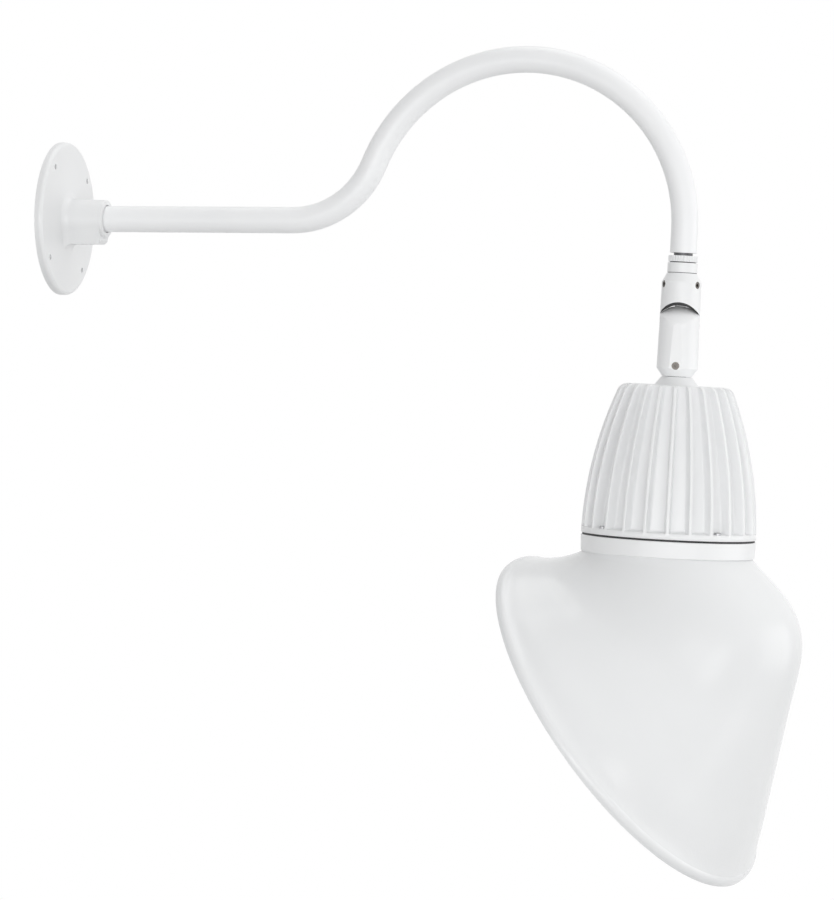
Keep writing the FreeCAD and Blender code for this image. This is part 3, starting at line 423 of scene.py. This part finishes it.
def fin_loops():
    """The fins: a fillet at the foot, the long flanks and the rounded tops."""
    loops = []
    for share in FOOT_SHARES:
        angle = share * math.pi / 2
        z = SINK_LIP_TOP + FIN_FOOT_ROUND * (1 - math.cos(angle))
        floor_r = groove_radius(z) + FIN_FOOT_ROUND * (1 - math.sin(angle))
        loops.append(sink_loop(z, floor_r, fin_radius(z), FIN_FOOT_FLARE * (1 - share)))
    start = SINK_LIP_TOP + FIN_FOOT_ROUND
    for step in range(1, FIN_STEPS + 1):
        z = start + (SINK_TOP - FIN_TOP_ROUND - start) * step / FIN_STEPS
        loops.append(sink_loop(z, groove_radius(z), fin_radius(z)))
    for share in TOP_SHARES:
        z = SINK_TOP - FIN_TOP_ROUND * (1 - share)
        edge_r = max(fin_radius(z), groove_radius(z) - TOP_COVER)
        loops.append(sink_loop(z, groove_radius(z), edge_r))
    return loops


def neck_loops():
    """The flat top, the neck's fillet, its cone and the bore's mouth."""
    outline = (
        (NECK_R + NECK_APRON, SINK_TOP),
        (NECK_R + NECK_FILLET, SINK_TOP),
        (NECK_R - NECK_DRAFT, SINK_TOP + NECK_FILLET),
        (NECK_END_R + NECK_BEVEL, NECK_TOP - NECK_BEVEL_DROP),
        (NECK_END_R - NECK_BEVEL, NECK_TOP),
        (NECK_BORE_R, NECK_TOP),
    )
    return [round_loop(z, radius) for radius, z in outline]


def heat_sink(material):
    """The casting's skin, which stands in for the plain solid."""
    piece = skin("cast_heat_sink", lip_loops() + fin_loops() + neck_loops(),
                 joint_frame("head_turn", HEAD_TURN), material, "head")
    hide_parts("heat_sink")


# ---- stage, lights and camera --------------------------------------------------------------
def seen_rays(tree, amount):
    """The given amount for rays from the camera, gloss and glass, and nothing for the rest."""
    path = tree.nodes.new("ShaderNodeLightPath")
    total = path.outputs["Is Camera Ray"]
    for kind in ("Is Glossy Ray", "Is Transmission Ray"):
        adder = tree.nodes.new("ShaderNodeMath")
        adder.operation = "ADD"
        adder.use_clamp = True
        tree.links.new(total, adder.inputs[0])
        tree.links.new(path.outputs[kind], adder.inputs[1])
        total = adder.outputs[0]
    scaled = tree.nodes.new("ShaderNodeMath")
    scaled.operation = "MULTIPLY"
    scaled.inputs[1].default_value = amount
    tree.links.new(total, scaled.inputs[0])
    return scaled.outputs[0]


def floor_paper():
    """Grey paper that takes the object's shadow and looks white."""
    material, tree, shader, spot = new_material("floor_paper")
    fibre = noise(tree, spot, FIBRE_SCALE, 3.0)
    tree.links.new(tint(tree, fibre, *FLOOR_GREY), shader.inputs["Base Color"])
    shader.inputs["Roughness"].default_value = FLOOR_GLOSS
    glow = tree.nodes.new("ShaderNodeEmission")
    tree.links.new(seen_rays(tree, FLOOR_GLOW), glow.inputs["Strength"])
    both = tree.nodes.new("ShaderNodeAddShader")
    tree.links.new(shader.outputs[0], both.inputs[0])
    tree.links.new(glow.outputs[0], both.inputs[1])
    tree.links.new(both.outputs[0], tree.nodes["Material Output"].inputs["Surface"])
    return material


def floor():
    """A plain floor, well under the lamp."""
    corners = [(x * FLOOR_HALF, y * FLOOR_HALF, FLOOR_HEIGHT)
               for x, y in ((-1, -1), (1, -1), (1, 1), (-1, 1))]
    mesh = bpy.data.meshes.new("floor")
    mesh.from_pydata(corners, [], [(0, 1, 2, 3)])
    mesh.materials.append(floor_paper())
    piece = bpy.data.objects.new("floor", mesh)
    bpy.context.scene.collection.objects.link(piece)


def sky_strength(tree):
    """The sky's level, a little stronger on one side: level plus tilt times direction."""
    direction = tree.nodes.new("ShaderNodeTexCoord").outputs["Generated"]
    slope = tree.nodes.new("ShaderNodeVectorMath")
    slope.operation = "DOT_PRODUCT"
    slope.inputs[1].default_value = SKY_TILT
    tree.links.new(direction, slope.inputs[0])
    total = tree.nodes.new("ShaderNodeMath")
    total.inputs[1].default_value = SKY_LEVEL
    tree.links.new(slope.outputs["Value"], total.inputs[0])
    return total.outputs[0]


def world():
    """A soft sky for light, which shows as white to the camera, gloss and glass."""
    sky = bpy.data.worlds.new("studio")
    bpy.context.scene.world = sky
    sky.use_nodes = True
    tree = sky.node_tree
    light = tree.nodes["Background"]
    light.inputs["Color"].default_value = WHITE
    tree.links.new(sky_strength(tree), light.inputs["Strength"])
    white = tree.nodes.new("ShaderNodeBackground")
    white.inputs["Color"].default_value = WHITE
    white.inputs["Strength"].default_value = 1.0
    mix = tree.nodes.new("ShaderNodeMixShader")
    tree.links.new(seen_rays(tree, 1.0), mix.inputs[0])
    tree.links.new(light.outputs[0], mix.inputs[1])
    tree.links.new(white.outputs[0], mix.inputs[2])
    tree.links.new(mix.outputs[0], tree.nodes["World Output"].inputs["Surface"])


def softbox(name, place, width, height, watts):
    """A large lamp that faces the object's middle."""
    data = bpy.data.lights.new(name, "AREA")
    data.shape = "RECTANGLE"
    data.size = width
    data.size_y = height
    data.energy = watts
    lamp = bpy.data.objects.new(name, data)
    lamp.location = place
    lamp.visible_camera = False
    toward = Vector(LIT_MIDDLE) - Vector(place)
    lamp.rotation_euler = toward.to_track_quat("-Z", "Y").to_euler()
    bpy.context.scene.collection.objects.link(lamp)


def camera():
    """The photograph's camera: a long lens, nearly level, a little to the side."""
    data = bpy.data.cameras.new("camera")
    data.lens = CAMERA_LENS
    data.sensor_fit = "AUTO"
    data.sensor_width = CAMERA_SENSOR
    data.clip_end = CAMERA_FAR
    eye = bpy.data.objects.new("camera", data)
    turn = (
        Matrix.Rotation(math.radians(CAMERA_HEADING), 4, "Z")
        @ Matrix.Rotation(math.radians(90.0 + CAMERA_PITCH), 4, "X")
        @ Matrix.Rotation(math.radians(CAMERA_ROLL), 4, "Z")
    )
    eye.matrix_world = Matrix.Translation(CAMERA_PLACE) @ turn
    bpy.context.scene.collection.objects.link(eye)
    bpy.context.scene.camera = eye


bpy.context.scene.view_settings.view_transform = "Standard"
finish = finishes()
dress_nodes(finish)
heat_sink(finish["powder_coat"])
floor()
world()
for box in SOFTBOXES:
    softbox(*box)
camera()
